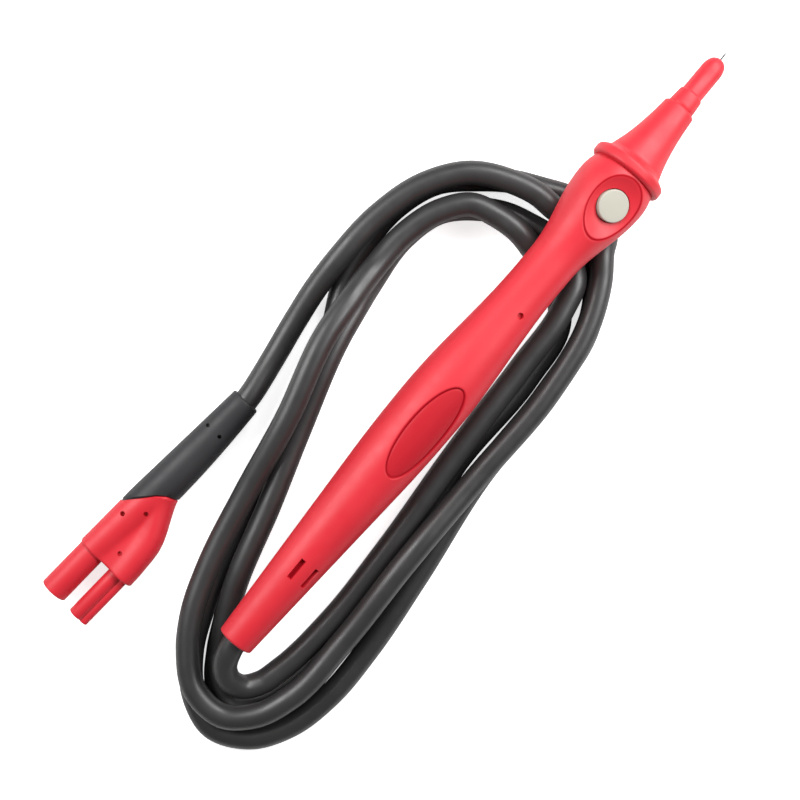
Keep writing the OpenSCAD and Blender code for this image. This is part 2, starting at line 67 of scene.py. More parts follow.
# The lead's route: distance from the tail, distance to the left, height of its middle
ROUTE = [
    # out of the tail and back towards the head, first turn
    [-4, -0.8, 20], [-8.2, -2.6, 17.6], [-10.9, -6, 14.6], [-10.7, -10.2, 11.6], [-7, -13.6, 9.6],
    [0, -15.8, 8.4], [20, -18, 7.8], [47, -17.2, 10], [82, -14.5, 11], [113, -13.1, 11],
    [134, -11.6, 11.2],
    [143.2, -8.6, 10.6], [146.3, -5, 9.3], [148.2, -0.4, 6.9], [149, 5, 4.2], [147.9, 12.1, low],
    [146.1, 18.9, low], [142.3, 25.8, low], [133.6, 34.7, low], [121, 38.1, low], [104, 36.8, 4.6],
    [95, 35.2, 8.8], [86, 33.5, 11], [59, 25.5, 11], [34.5, 17.5, 10.5], [11, 10.5, 9], [-1, 5.5, 6],
    # second turn, under the first one
    [-9, 1.5, low], [-16.5, -4.5, low], [-18.8, -12, low], [-13, -19.3, low], [-5, -22.4, low],
    [17, -24.5, low], [46, -22, low], [80, -16.8, low], [113, -16.9, low], [131, -13.8, low],
    [138.4, -6.4, 3.7], [140.2, -1.8, 4.6], [141.3, 2.2, 7.2], [142.1, 6.6, 9.8], [143.2, 13.1, 11.2],
    [142.7, 20.8, 11.2], [140.5, 28.5, 11.2], [134, 34, 11.2], [122, 38, 11], [108, 38.5, 12],
    [95, 37.5, 16.5], [85, 36.5, 18.5], [58, 29.5, 18], [33, 25, 13], [9, 19.5, 11], [-3, 15, 11],
    # third turn, on top
    [-13, 8.5, 11], [-20.5, -0.5, 11], [-21, -11.5, 11], [-14.5, -19, 11], [-4, -23.3, 11],
    [18, -24.5, 11.2], [46.5, -23.5, 14.5], [81.5, -23.8, 11.2], [113.5, -24, 11.2], [136, -20.1, 11.2],
    [147.6, -14.6, 11.2], [154.6, -9.6, 11], [158.4, -7.9, 9.2], [161.6, -4.9, 7], [163.5, -0.6, 5.3],
    [163.3, 4, 3.9], [161.2, 9.7, low], [158.4, 16, low], [154.5, 24.1, low], [148.4, 32.3, low],
    [139.7, 41, low], [127, 45.6, low], [114.5, 46.2, low], [102, 44.2, low], [85.5, 36.5, low],
    [58, 28, low], [33, 22, low], [9, 16.5, low], [-2.5, 13, low],
    # fourth turn, the outermost
    [-14, 7.5, low], [-24, -2, low], [-27.3, -11, low], [-22.5, -22, low], [-12, -29, low],
    [2, -32.2, low], [20, -32.2, low], [46, -29.5, low], [81, -24.8, low], [113, -24.3, low],
    [136, -21, low], [143, -17.4, low], [148, -13.2, low], [151.4, -9, low], [153.8, -5, low],
    [155.7, -0.8, 4], [156.2, 3, 6], [155.6, 6.4, 8.8], [155.2, 9.6, 10.7], [155.2, 15.5, 11.2],
    # across the coil and out to the plug
    [153.3, 23.5, 11.2], [147.6, 34.6, 11.2], [137, 42.7, 11.2], [121, 47.5, 11], [104, 48.5, 10],
    [93, 48.3, 7.2], [80, 46.8, 4.5], [68, 44.8, 4.2]
]


# Places

def row(points):
    """Points in millimetres from the tail, to the left and above the surface, as metres in the frame:
    x = (s - tail) / 1000, y = left / 1000, z = (h - axis height) / 1000."""
    return (np.asarray(points, float) - (TAIL, 0.0, AXIS_H)) / 1000.0


def on_probe(points):
    """Points drawn along the grip, turned by the roll about its axis, then in metres in the frame:
    left' = left cos(roll) - up sin(roll), up' = left sin(roll) + up cos(roll)."""
    s, left, up = np.moveaxis(np.asarray(points, float), -1, 0)
    cos, sin = math.cos(ROLL), math.sin(ROLL)
    return row(np.stack([s, left * cos - up * sin, left * sin + up * cos + AXIS_H], -1))


def along_plug(points):
    """Points drawn along the plug, turned by its direction and moved to the joint's place, in millimetres:
    s' = s cos(turn) - left sin(turn), left' = s sin(turn) + left cos(turn)."""
    s, left, up = np.moveaxis(np.asarray(points, float), -1, 0)
    cos, sin = math.cos(PLUG_TURN), math.sin(PLUG_TURN)
    return np.stack([s * cos - left * sin, s * sin + left * cos, up], -1) + PLUG_AT


def on_plug(points):
    """Points drawn along the plug, in metres in the frame."""
    return row(along_plug(points))


# Curves and outlines

def ease(t):
    """The smooth step 3t^2 - 2t^3, with t held between 0 and 1."""
    t = np.clip(t, 0, 1)
    return t * t * (3 - 2 * t)


def swing(s, start, end, first, last):
    """Half a cosine wave that leads from one value at start to another at end, and is flat past both."""
    t = np.clip((s - start) / (end - start), 0, 1)
    return first + (last - first) * (1 - np.cos(math.pi * t)) / 2


def fine_line(distance, middle, width):
    """How much of a fine line lies at a distance from an edge: exp(-((distance - middle) / width)^2)."""
    return np.exp(-((distance - middle) / width) ** 2)


def through(s, pairs):
    """The value at s of straight stretches through pairs (place, value)."""
    return np.interp(s, *np.transpose(pairs))


def spaced(*parts):
    """Stations made of stretches (from, to, step), each cut in equal steps no longer than its own."""
    out = [np.linspace(a, b, max(2, math.ceil((b - a) / step) + 1))[:-1] for a, b, step in parts]
    return np.concatenate(out + [[parts[-1][1]]])


def round_turn(sides):
    """Evenly spaced angles of one full turn."""
    return np.arange(sides) * 2 * math.pi / sides


def arc(x, y, wide, tall, first, last, steps=8):
    """Outline points of an elliptical bend round (x, y), between two angles in degrees:
    (x + wide cos(angle), y + tall sin(angle))."""
    angle = np.radians(np.linspace(first, last, steps + 1))
    return [(x + wide * math.cos(v), y + tall * math.sin(v)) for v in angle]


def smooth_line(points, steps):
    """The smooth curve through the points. A point's direction is the mean of the two chords' directions,
    the shorter chord counting more; each stretch is the cubic with those end directions:
    (2t^3 - 3t^2 + 1) a + (t^3 - 2t^2 + t) da + (3t^2 - 2t^3) b + (t^3 - t^2) db."""
    p = np.asarray(points, float)
    chord = np.diff(p, axis=0)
    long = np.linalg.norm(chord, axis=1)[:, None]
    way = chord / long
    mean = (way[1:] * long[:-1] + way[:-1] * long[1:]) / (long[1:] + long[:-1])
    way = np.vstack([way[:1], mean, way[-1:]])
    t = np.linspace(0, 1, steps, endpoint=False)[None, :, None]
    a, b = p[:-1, None], p[1:, None]
    da, db = (way[:-1] * long)[:, None], (way[1:] * long)[:, None]
    curve = (2 * t**3 - 3 * t**2 + 1) * a + (t**3 - 2 * t**2 + t) * da
    curve = curve + (3 * t**2 - 2 * t**3) * b + (t**3 - t**2) * db
    return np.vstack([curve.reshape(-1, p.shape[1]), p[-1:]])


# Meshes

def add_mesh(name, verts, quads, ends=()):
    """A mesh from corner points, four-cornered faces and whole end faces."""
    mesh = bpy.data.meshes.new(name)
    faces = np.asarray(quads, int).tolist() + [list(face) for face in ends]
    mesh.from_pydata(np.asarray(verts, float).tolist(), [], faces)
    mesh.validate()
    mesh.update()
    obj = bpy.data.objects.new(name, mesh)
    bpy.context.scene.collection.objects.link(obj)
    return obj


def mesh_volume(mesh):
    """Signed volume of a closed mesh: the sum over its triangles of a . (b x c) / 6."""
    mesh.calc_loop_triangles()
    tri = np.empty(len(mesh.loop_triangles) * 3, int)
    mesh.loop_triangles.foreach_get("vertices", tri)
    place = np.empty(len(mesh.vertices) * 3)
    mesh.vertices.foreach_get("co", place)
    a, b, c = np.moveaxis(place.reshape(-1, 3)[tri.reshape(-1, 3)], 1, 0)
    return float((a * np.cross(b, c)).sum() / 6)


def grid(name, points, closed=False):
    """A closed surface from a table of points, with its faces outward: each row is a ring, joined to the
    next. With closed, the last ring is joined to the first; otherwise a face closes each end."""
    rows, sides = points.shape[:2]
    i = np.arange(rows if closed else rows - 1)[:, None]
    j = np.arange(sides)[None, :]
    below, beside = (i + 1) % rows, (j + 1) % sides
    quads = np.stack([i * sides + j, i * sides + beside, below * sides + beside, below * sides + j], -1)
    first = list(range(sides))[::-1]
    last = list(range((rows - 1) * sides, rows * sides))
    obj = add_mesh(name, points.reshape(-1, 3), quads.reshape(-1, 4), [] if closed else [first, last])
    if mesh_volume(obj.data) < 0:
        obj.data.flip_normals()
    return obj


def rings(rows, angle, left=0.0):
    """Rings round an axis from rows (distance, radius), each one number or one for each angle:
    point = (distance, left + radius sin(angle), radius cos(angle))."""
    s, radius = [np.stack([value + 0 * angle for value in column]) for column in zip(*rows)]
    return np.stack([s, left + radius * np.sin(angle), radius * np.cos(angle)], -1)


def turned(name, place, line, sides=96, left=0.0):
    """A turned piece along the probe or the plug: its closed outline (distance, radius) is swung round an
    axis."""
    return grid(name, place(rings(line, round_turn(sides), left)), closed=True)


def upright(name, place, at, line, sides=96):
    """A turned piece square to the probe or the plug: the outline (up, radius) is swung round an upright
    line at (distance, left), point = (distance + radius cos(angle), left + radius sin(angle), up)."""
    up, radius = np.asarray(line, float).T[:, :, None]
    angle = round_turn(sides)
    points = [at[0] + radius * np.cos(angle), at[1] + radius * np.sin(angle), up + 0 * angle]
    return grid(name, place(np.stack(points, -1)))


def tube(name, line, radius, sides):
    """A round tube along a line of points: each ring is point + radius (side cos(angle) + up sin(angle)),
    where side is level and square to the line, and up is square to both."""
    step = np.gradient(line, axis=0)
    step /= np.linalg.norm(step, axis=1)[:, None]
    side = np.cross(step, (0.0, 0.0, 1.0))
    side /= np.linalg.norm(side, axis=1)[:, None]
    up = np.cross(side, step)
    angle = round_turn(sides)[:, None]
    outward = side[:, None] * np.cos(angle) + up[:, None] * np.sin(angle)
    return grid(name, line[:, None] + radius * outward)


def cut(obj, cutter):
    """Takes one closed shape out of another for good, and removes the cutter."""
    change = obj.modifiers.new("cut", "BOOLEAN")
    change.operation = "DIFFERENCE"
    change.solver = "MANIFOLD"
    change.object = cutter
    done = bpy.data.meshes.new_from_object(obj.evaluated_get(bpy.context.evaluated_depsgraph_get()))
    whole = obj.data
    obj.modifiers.clear()
    obj.data = done
    done.name = whole.name
    bpy.data.meshes.remove(whole)
    bpy.data.objects.remove(cutter)


def drill(obj, place, at, radius, floor, top, sides):
    """Cuts a round hole square to the probe or the plug, from a height above it down to the floor."""
    cut(obj, upright("cutter", place, at, [(floor, radius), (top, radius)], sides))


def settle(obj, body, sharp=40):
    """Smooth shading with creases sharper than an angle kept, and the piece on its body."""
    obj.data.shade_smooth()
    obj.data.set_sharp_from_angle(angle=math.radians(sharp))
    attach(obj, body)
    return obj


# Camera and lead

def camera():
    """Straight down on the middle of the picture, turned so that the grip lies across it."""
    data = bpy.data.cameras.new("camera")
    data.sensor_width = 36.0
    data.lens = data.sensor_width * CAMERA_H / VIEW_WIDTH
    data.clip_start = 0.01
    data.clip_end = 20
    cam = bpy.data.objects.new("camera", data)
    bpy.context.scene.collection.objects.link(cam)
    axes = np.array([(*PICTURE_RIGHT, 0), (*PICTURE_UP, 0), (0, 0, 1), row([*MIDDLE, CAMERA_H])])
    cam.matrix_world = Matrix([*axes.T.tolist(), (0, 0, 0, 1)])
    bpy.context.scene.camera = cam


camera()

# The lead's ends inside the grip and the boot
IN_GRIP = [[29, 0, AXIS_H], [14, 0, AXIS_H], [0, 0, AXIS_H]]
IN_BOOT = along_plug([[-40, 0, 0], [-23, 0, 0], [-6, 0, 0]]).tolist()
LINE = smooth_line(IN_GRIP + ROUTE + IN_BOOT, 10)
LINE[:, 2] = np.maximum(LINE[:, 2], LEAD_R)
LEAD = row(LINE)
lead_tube = settle(tube("lead_tube", LEAD, LEAD_R / 1000, 24), "probe")
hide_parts("lead")


# Grip

# Its length, the radii at the tail, the belly, the neck and the head, the distances at which they lie,
# and how much the radius falls from the head to the joint with the cone
GRIP_LEN = 173.3
TAIL_R = 5.5
TAPER_END = 62
BELLY_S, BELLY_R = 88, 10
NECK_FROM, NECK_TO, NECK_R = 136, 141, 7.35
HEAD_S, HEAD_R = 167.5, 11.2
FRONT_DROP = 1.1
# The bore and where it ends, the narrower hole for the lead, its mouth, and the rounding of the tail
BORE_R, BORE_END = 5.4, 30
LEAD_HOLE_R = 3.75
MOUTH_R, MOUTH_END = 4.4, 2.0
TAIL_RIM = 0.7
# The oval recess: middle, half length, half width round the surface, depth
OVAL_S, OVAL_LONG, OVAL_WIDE = 80.6, 15.9, 6.0
OVAL_DEPTH = 0.42
# The dish: distance and height of the ball's middle, its radius, how its left side is drawn out, its skew
DISH_S, DISH_H, DISH_R = 161.0, 26.9, 19.9
DISH_LEFT = 0.94
DISH_SKEW = 0.09
# The two slots: middle, half length, half width, depth, the width of their edges, and the turn between
# each and the button's line
SLOT_S, SLOT_LONG, SLOT_WIDE, SLOT_DEPTH = 28, 3.25, 0.68, 1.3
SLOT_EDGE = 0.25
SLOT_TURN = math.radians(20.6)
# How deep the fine lines round the oval and the dish are, and how much painted shade darkens the oval's
# floor and the slots, where the painted shade in a fine line is 1
OVAL_LINE, DISH_LINE = 0.16, 0.25
FLOOR_PAINTED_SHADE, SLOT_PAINTED_SHADE = 0.45, 0.9
# The button's hole and the small hole: distance, radius, height of the floor above the axis
BUTTON_S, BUTTON_HOLE_R, BUTTON_FLOOR = 163.4, 4.95, 2.0
SMALL_HOLE_S, SMALL_HOLE_R, SMALL_HOLE_FLOOR = 123.0, 1.0, 6.6
# Heights above the grip's axis and the plug's axis that are clear of the piece
ABOVE_GRIP = 20
ABOVE_PLUG = 12.0


def grip_radius(s):
    """The grip's radius: a straight taper from the tail, a parabola to the belly, half a wave down to the
    neck, another up to the head, and a parabola down to the joint with the cone."""
    slope = 2 * (BELLY_R - TAIL_R) / (TAPER_END + BELLY_S)
    bulge = BELLY_R - slope * (BELLY_S - s) ** 2 / (2 * (BELLY_S - TAPER_END))
    radius = np.where(s < TAPER_END, TAIL_R + slope * s, bulge)
    radius = np.where(s > BELLY_S, swing(s, BELLY_S, NECK_FROM, BELLY_R, NECK_R), radius)
    radius = np.where(s > NECK_TO, swing(s, NECK_TO, HEAD_S, NECK_R, HEAD_R), radius)
    front = HEAD_R - FRONT_DROP * ((s - HEAD_S) / (GRIP_LEN - HEAD_S)) ** 2
    return np.where(s > HEAD_S, front, radius)


def oval_recess(s, phi, radius):
    """How deep the long oval on the belly makes each point, and the painted shade that it puts there, in
    its fine line and on its floor. Measured round the surface, q^2 = (ds / a)^2 + (left / b)^2 is 1 on its
    rim, and (1 - q) a / sqrt(1 + 1.6 (a / b * left / b / q)^2) is about the distance inwards from it."""
    along = (s - OVAL_S) / OVAL_LONG
    across = radius * phi / OVAL_WIDE
    q = np.sqrt(along**2 + across**2)
    steep = OVAL_LONG / OVAL_WIDE * across / np.maximum(q, 1e-6)
    inward = (1 - q) * OVAL_LONG / np.sqrt(1 + 1.6 * steep**2)
    floor = ease(inward / 0.5 + 0.5)
    line = fine_line(inward, 0.1, 0.28)
    return OVAL_DEPTH * floor + OVAL_LINE * line, np.maximum(FLOOR_PAINTED_SHADE * floor, line)


def dish_radius(s, phi, left):
    """The radius down to the dish round the button, a ball cut into the grip, drawn out a little on its
    left and skewed along the grip: c cos(phi) - sqrt(c^2 cos^2(phi) - c^2 - ds^2 + R^2). It is far outside
    the grip where the ball isn't reached."""
    toward = DISH_H * np.cos(phi * np.where(phi > 0, DISH_LEFT, 1.0))
    root = toward**2 - DISH_H**2 - (s - DISH_S - DISH_SKEW * left) ** 2 + DISH_R**2
    inside = (root > 0) & (np.cos(phi) > 0.1)
    return np.where(inside, toward - np.sqrt(np.maximum(root, 0)), 99.0)


def grip_surface(s, phi):
    """The grip's outer radius at a distance s and an angle phi from the button's line, less its recesses,
    and how much painted shade each point gets: 1 in the fine lines, less in the floors and the slots."""
    radius = grip_radius(s)
    dish_left = radius * np.sin(phi)
    depth, dark = oval_recess(s, phi, radius)
    radius = radius - depth
    dish = dish_radius(s, phi, dish_left)
    line = fine_line(dish - radius, 0.08, 0.32)
    radius = np.minimum(radius, dish) - DISH_LINE * line
    dark = np.maximum(dark, line)
    for turn in (-SLOT_TURN, SLOT_TURN):
        across = np.abs(radius * (phi - turn)) - SLOT_WIDE
        along = np.abs(s - SLOT_S) - SLOT_LONG
        slot = ease(0.5 - np.maximum(across, along) / SLOT_EDGE)
        radius = radius - SLOT_DEPTH * slot
        dark = np.maximum(dark, SLOT_PAINTED_SHADE * slot)
    return radius, dark


def grip():
    """The grip as one closed surface: the outside with its recesses, the face at the cone, the long bore,
    the narrower hole for the lead with its mouth, and the rounded rim of the tail. The button's hole and
    the small hole are cut out of it. The painted shade of each point goes into the mesh's attribute recess.
    Steps are fine at the slots, the oval and the dish, and within 56 degrees of the button's line."""
    s = spaced((TAIL_RIM, 23.5, 1.6), (23.5, 32.5, 0.16), (32.5, 63.5, 1.6), (63.5, 98, 0.24),
               (98, 121, 1.6), (121, 126, 0.5), (126, 151, 1.4), (151, 173.1, 0.17), (173.1, GRIP_LEN, 0.2))
    fine = math.radians(56)
    phi = np.concatenate([np.linspace(-fine, fine, 136, endpoint=False),
                          np.linspace(fine, 2 * math.pi - fine, 52, endpoint=False)])
    from_line = np.where(phi > math.pi, phi - 2 * math.pi, phi)
    outside, dark = grip_surface(*np.meshgrid(s, from_line, indexing="ij"))
    rows = list(zip(s, outside))
    rows += [(GRIP_LEN, BORE_R), (BORE_END, BORE_R), (BORE_END, LEAD_HOLE_R)]
    rows += [(MOUTH_END + 0.2, LEAD_HOLE_R), (MOUTH_END, MOUTH_R), (0.0, MOUTH_R), (0.0, TAIL_R - TAIL_RIM)]
    rim_r = float(grip_radius(TAIL_RIM)) - TAIL_RIM
    for v in np.radians(np.arange(15, 90, 15)):
        rows.append((TAIL_RIM - TAIL_RIM * math.cos(v), rim_r + TAIL_RIM * math.sin(v)))
    obj = grid("grip_shell", on_probe(rings(rows, phi)), closed=True)
    # Painted shade in the fine lines, the oval's floor and the slots, which the material turns into a
    # darker colour
    shade = np.zeros((len(rows), len(phi)))
    shade[:len(dark)] = dark
    obj.data.attributes.new("recess", "FLOAT", "POINT").data.foreach_set("value", shade.ravel())
    drill(obj, on_probe, (BUTTON_S, 0), BUTTON_HOLE_R, BUTTON_FLOOR, ABOVE_GRIP, 96)
    drill(obj, on_probe, (SMALL_HOLE_S, 0), SMALL_HOLE_R, SMALL_HOLE_FLOOR, ABOVE_GRIP, 32)
    return obj


grip_shell = settle(grip(), "probe", 35)
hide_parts("handle_body")


# Cone with the finger guard, tip sleeve, button

# The front of the guard, and the front of the cone
FACE = GRIP_LEN + 3.6
CONE_END = FACE + 21.3


def cone_radius(a):
    """The cone's radius at a distance a along its flank: 4.0 + 4.6 exp(-a / 12.5)."""
    return 4.0 + 4.6 * math.exp(-a / 12.5)


# The end in the grip, the guard's back edge, its front edge, the hollow before it, the cone, its front
cone_line = [(170.0, 3.3), (170.0, 5.3), (173.32, 5.3)]
cone_line += arc(174.4, 10.45, 1.08, 1.1, 180, 90)
cone_line += arc(FACE - 1.25, 10.3, 1.25, 1.25, 90, 22)
cone_line += arc(FACE + 2.75, 11.15, 2.65, 2.75, 197, 262)
cone_line += [(FACE + a, cone_radius(a - 1.9)) for a in np.linspace(3.0, 21.0, 24)]
cone_line += [(CONE_END, cone_radius(19.4) - 0.25), (CONE_END, 3.3)]
cone_and_guard = settle(turned("cone_and_guard", on_probe, cone_line, 128), "probe")
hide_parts("front_cone")

# The end in the cone, the collar, the straight part, the round nose, the needle's hole and the bore
nose_line = [(186.2, 1.25), (186.2, 3.2), (198.2, 3.2)]
nose_line += [(198.2, 3.95), (198.45, 4.1), (199.5, 4.08), (202.9, 3.8), (203.3, 3.72), (203.55, 3.45)]
nose_line += [(203.8, 3.3), (211.6, 3.28)]
nose_line += arc(212.0, 1.35, 4.1, 1.93, 90, 22, 10)
nose_line += [(216.28, 1.45), (216.3, 0.28), (213.5, 0.28), (213.5, 1.25)]
nose_sleeve = settle(turned("nose_sleeve", on_probe, nose_line), "probe")
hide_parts("tip_sleeve")

# The flange, the side, its rounded edge, and the face
cap_line = [(4.2, 0.02), (4.2, 5.2), (5.1, 5.2), (5.1, 4.7), (8.3, 4.7)]
cap_line += arc(8.35, 4.35, 0.35, 0.35, 90, 0, 5)
cap_line += [(8.72, 4.1), (8.74, 3.0), (8.75, 1.5), (8.75, 0.02)]
push_cap = settle(upright("push_cap", on_probe, (BUTTON_S, 0), cap_line), "button", 50)
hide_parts("button_cap")


# Boot and plug, with distances from the joint between them towards the tubes

# Where the boot ends on the lead
BOOT_END = -40.0
# How far the boot is drawn in where it meets the plug's body
SEAM = 0.4
# The front of the plug's body, and the rounding of its edge
BODY_FRONT = 23.35
BODY_EDGE = 0.55
# Half the thickness of the web between the lobes of the plug's body, and how sharply they meet
WEB = 3.6
SHARP = 2.4
# Where the rings that close the body's back and front shrink to, as distances to the left
BACK_MIDDLE, FRONT_MIDDLE = 0.5, 3.9
# The small tube: its distance to the left, its radius, where it ends, the radius of its bore
SMALL_LEFT, SMALL_R, SMALL_END, SMALL_BORE = 8.1, 2.5, 40.6, 1.7
# The key on the small tube: how far its ellipse's centre lies from the tube's axis, and the ellipse's half
# axes outward and sideways
KEY_AT, KEY_LONG, KEY_SHORT = 2.5, 1.7, 1.2


def joint_at(left):
    """Where the boot ends and the plug's body begins, along the plug, at a distance to its left."""
    return through(left, [(-7, 7.0), (-5.8, 6.2), (-4.6, 4.6), (-2.6, 2.1), (0.9, -2.0), (3.5, -4.0),
                          (6.5, -4.8), (7.5, -4.6)])


def boot_radius(a, phi):
    """The boot's radius: straight stretches along it, and 0.6 ((1 + sin(phi)) / 2)^2 sin(pi (a + 40) / 42)
    more, which makes it fuller on the small tube's side."""
    side = ((1 + np.sin(phi)) / 2) ** 2
    swell = 0.6 * np.sin(math.pi * np.clip((a - BOOT_END) / 42, 0, 1))
    return through(a, [(BOOT_END, 4.55), (-14, 5.55), (2, 6.2), (10, 6.2)]) + side * swell


def boot():
    """The boot: rings about the plug's axis, with each line along it ending at the slanted joint, where the
    line's points lie at a = -39.5 + (end + 39.5) t. The end face runs inward along the same joint."""
    phi = round_turn(96)
    end = np.zeros(len(phi))
    for _ in range(30):
        end = 0.5 * end + 0.5 * joint_at(boot_radius(end, phi) * np.sin(phi))
    rows = [(BOOT_END, LEAD_HOLE_R), (BOOT_END, 4.1)]
    for v in np.radians([20, 50, 75]):
        rows.append((BOOT_END + 0.45 - 0.45 * math.cos(v), 4.1 + 0.45 * math.sin(v)))
    for t in np.append(np.linspace(0, 0.985, 29), 1):
        a = BOOT_END + 0.5 + (end - BOOT_END - 0.5) * t
        rows.append((a, boot_radius(a, phi) - SEAM * (t == 1)))
    rim = boot_radius(end, phi)
    for t in np.linspace(0, 1, 6)[1:]:
        radius = rim - SEAM + (4.15 - rim) * t
        rows.append((joint_at(radius * np.sin(phi)), radius))
    obj = grid("boot_shell", on_plug(rings(rows, phi)), closed=True)
    for left in (-2.7, 2.1):
        drill(obj, on_plug, (-27.3, left), 0.6, 3.2, ABOVE_PLUG, 24)
    return obj


def lobe_reach(a, theta):
    """How far the plug's body reaches from its middle line in a direction, at a distance a along the plug.
    The body is the smooth union of a round lobe along each tube and a flat web between them: the reach is
    found by halving between 0 and 16 mm, where exp(-k d1) + exp(-k d2) + exp(-k d3) of the distances
    from the three is 1."""
    big_left = through(a, [(-10, 0), (2, -0.4), (23, -1.6)])
    big_r = through(a, [(-10, 6.15), (0, 6.05), (8, 5.5), (23, 4.75)])
    small_left = through(a, [(-8, 0), (-4, 1.1), (1, 3.9), (4, 5.6), (7, 7.1), (10, 8.1), (13, 8.6),
                             (19, 9.2), (23.4, 9.4)])
    small_r = through(a, [(-8, 5.3), (-4, 5.1), (1, 4.8), (7, 4.6), (23.4, 4.2)])
    middle = (big_left + small_left) / 2
    inside, outside = np.zeros_like(theta), np.full_like(theta, 16.0)
    for _ in range(26):
        reach = (inside + outside) / 2
        left, up = middle + reach * np.cos(theta), reach * np.sin(theta)
        from_big = np.hypot(left - big_left, up) - big_r
        from_small = np.hypot(left - small_left, up) - small_r
        from_web = np.hypot(np.maximum(np.abs(left - middle) - (small_left - big_left) / 2, 0), up) - WEB
        solid = np.exp(-SHARP * from_big) + np.exp(-SHARP * from_small) + np.exp(-SHARP * from_web) > 1
        inside, outside = np.where(solid, reach, inside), np.where(solid, outside, reach)
    return middle, inside


def shrunk(ring, part, left):
    """A ring drawn towards a middle at a distance to the left: left' = middle + part (left - middle),
    up' = part up."""
    return np.stack([ring[:, 0], left + part * (ring[:, 1] - left), part * ring[:, 2]], -1)


def plug_shell():
    """The plug's body from the slanted joint to its flat front, each edge a little rounded. Between the
    edges its rings lie at a = start + 0.4 + (22.4 - start) t, where start is on the joint. Rings that
    shrink to a middle close both ends: the back ones follow the joint, the front ones are flat."""
    theta = round_turn(128)
    start = np.zeros(len(theta))
    for _ in range(40):
        middle, reach = lobe_reach(start, theta)
        start = 0.5 * start + 0.5 * joint_at(middle + reach * np.cos(theta))
    rows = [(start + a, less) for a, less in ((0.0, 0.8), (0.1, 0.4), (0.25, 0.12), (0.4, 0.0))]
    straight = BODY_FRONT - BODY_EDGE - 0.4 - start
    rows += [(start + 0.4 + straight * t, 0.0) for t in np.linspace(0.02, 1, 56)]
    for v in np.radians([35, 60, 90]):
        rows.append((BODY_FRONT - BODY_EDGE * (1 - math.sin(v)) + 0 * theta, BODY_EDGE * (1 - math.cos(v))))
    body = []
    for a, less in rows:
        middle, reach = lobe_reach(a, theta)
        reach = reach - less
        body.append(np.stack([a, middle + reach * np.cos(theta), reach * np.sin(theta)], -1))
    back = [shrunk(body[0], part, BACK_MIDDLE) for part in (0.04, 0.3, 0.6, 0.85)]
    for ring in back:
        ring[:, 0] = joint_at(ring[:, 1])
    front = [shrunk(body[-1], part, FRONT_MIDDLE) for part in (0.8, 0.4, 0.05)]
    obj = grid("two_lobe_body", on_plug(np.stack(back + body + front)))
    for a, left, floor in ((8.5, -2.5, 3.6), (3.9, 2.5, 3.7), (17.8, 5.0, 2.7)):
        drill(obj, on_plug, (a, left), 0.74, floor, ABOVE_PLUG, 24)
    return obj


def key_sleeve():
    """The small tube with its key: the reach in a direction is the larger of the round tube's radius and
    the far side of the key's ellipse, whose centre lies on the tube's wall: (b + sqrt(b b - a c)) / a,
    where a = (cos / long)^2 + (sin / short)^2, b = centre cos / long^2 and c = (centre / long)^2 - 1.
    Steps are fine within half a radian of the key."""
    half = 0.52
    theta = np.concatenate([np.linspace(-half, half, 30, endpoint=False),
                            np.linspace(half, 2 * math.pi - half, 50, endpoint=False)])
    a = (np.cos(theta) / KEY_LONG) ** 2 + (np.sin(theta) / KEY_SHORT) ** 2
    b = KEY_AT * np.cos(theta) / KEY_LONG**2
    inside = b * b - a * ((KEY_AT / KEY_LONG) ** 2 - 1)
    key = np.where(inside > 0, (b + np.sqrt(np.maximum(inside, 0))) / a, 0)
    reach = np.maximum(SMALL_R, key)
    end = SMALL_END + 0.15 * (reach > SMALL_R + 0.05)
    rows = [(22.5, reach), (end - 0.35, reach), (end - 0.12, reach - 0.1), (end, reach - 0.35),
            (SMALL_END, SMALL_BORE + 0.25), (SMALL_END - 0.2, SMALL_BORE), (22.5, SMALL_BORE)]
    return grid("keyed_sleeve", on_plug(rings(rows, math.pi / 2 - theta, SMALL_LEFT)), closed=True)


boot_shell = settle(boot(), "probe")
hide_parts("lead_boot")

two_lobe_body = settle(plug_shell(), "probe")
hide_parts("plug_body")

# The end in the plug's body, the shoulder, the rounded mouth, and the bore
big_line = [(20.0, 1.95), (20.0, 3.4), (23.0, 3.4), (23.0, 4.2)]
big_line += arc(39.6, 3.85, 0.4, 0.4, 90, 0, 5)
big_line += arc(39.6, 3.45, 0.4, 0.35, 0, -90, 4)
big_line += [(24.5, 3.1), (24.5, 1.95)]
big_sleeve = settle(turned("big_sleeve", on_plug, big_line, left=-1.7), "probe")
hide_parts("shroud_tube")

keyed_sleeve = settle(key_sleeve(), "probe", 30)
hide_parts("small_tube")


# Materials

